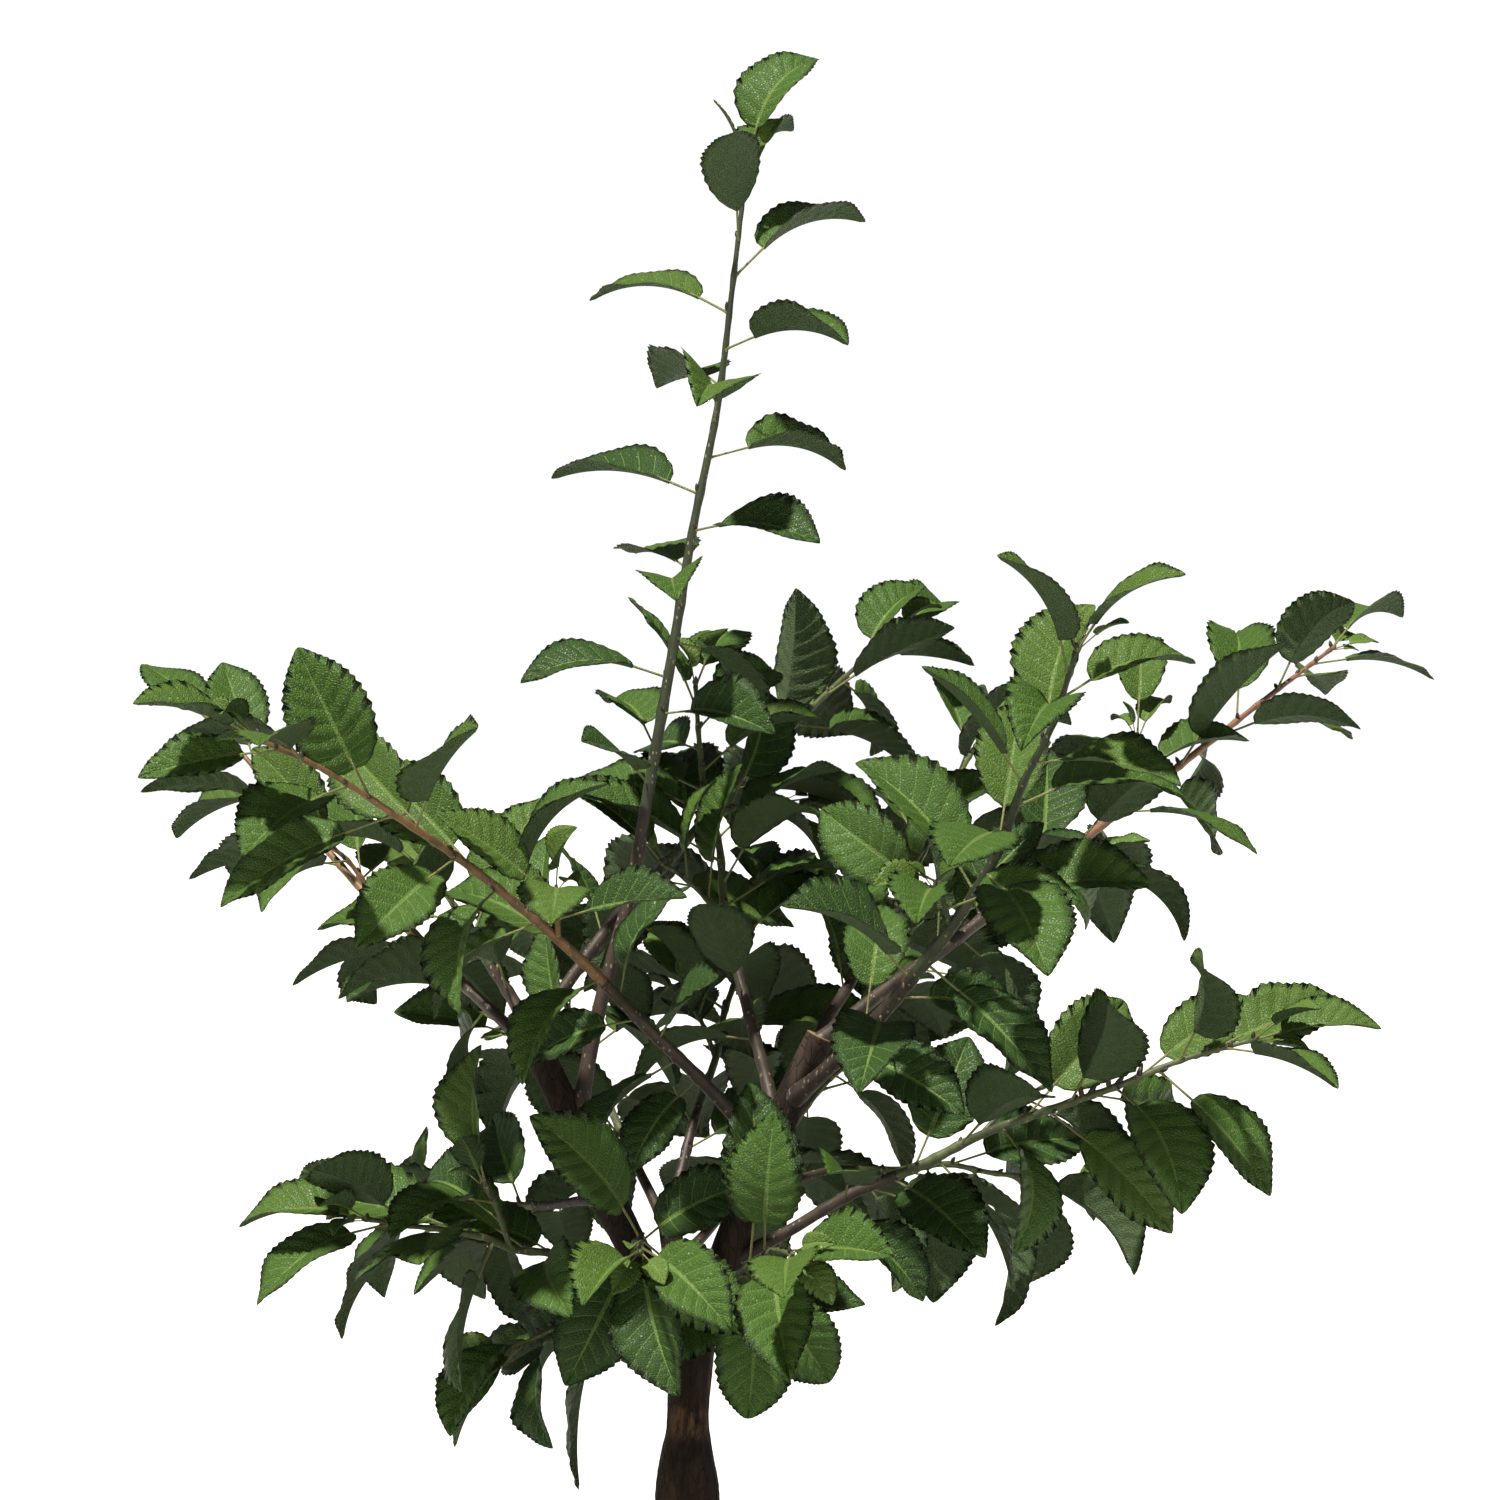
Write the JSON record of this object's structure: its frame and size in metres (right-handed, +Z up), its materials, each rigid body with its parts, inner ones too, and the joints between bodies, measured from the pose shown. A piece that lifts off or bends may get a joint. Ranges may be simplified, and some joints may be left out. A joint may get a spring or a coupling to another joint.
{
  "type": "potted reinette du canada apple tree",
  "caption": "Young goblet-trained apple tree in leaf, with a graft union, a low fork, boughs and leafy shoots, in a tapering nursery pot filled with soil.",
  "frame": {"origin": "centre of the flat underside of the pot, on the surface it stands on", "axes": "+Z up along the pot's axis and the trunk; the front of the tree, as pictured, faces -Y and its right-hand side +X"},
  "size_m": [0.8501, 0.7005, 1.2257],
  "materials": {
    "black_plastic": "satin black moulded plastic",
    "potting_soil": "moist crumbly potting soil",
    "bark": "dull grey-brown bark",
    "leaves": "semi-matt green leaves"
  },
  "bodies": {
    "root": {"pot": "black_plastic", "soil": "potting_soil", "trunk": "bark", "bough_left": "bark", "bough_right": "bark", "bough_back": "bark", "foliage_leader": "leaves", "foliage_far_left": "leaves", "foliage_up_back": "leaves", "foliage_left_short": "leaves", "foliage_left_rear": "leaves", "foliage_left_low": "leaves", "foliage_hanging": "leaves", "foliage_right_front": "leaves", "foliage_centre": "leaves", "foliage_left_front": "leaves", "foliage_right_high": "leaves", "foliage_right_back": "leaves", "foliage_right_low": "leaves", "foliage_right_thin": "leaves", "foliage_front_left": "leaves", "foliage_front_right": "leaves", "foliage_centre_back": "leaves", "foliage_back_left": "leaves", "foliage_back_right": "leaves"}
  },
  "joints": []
}
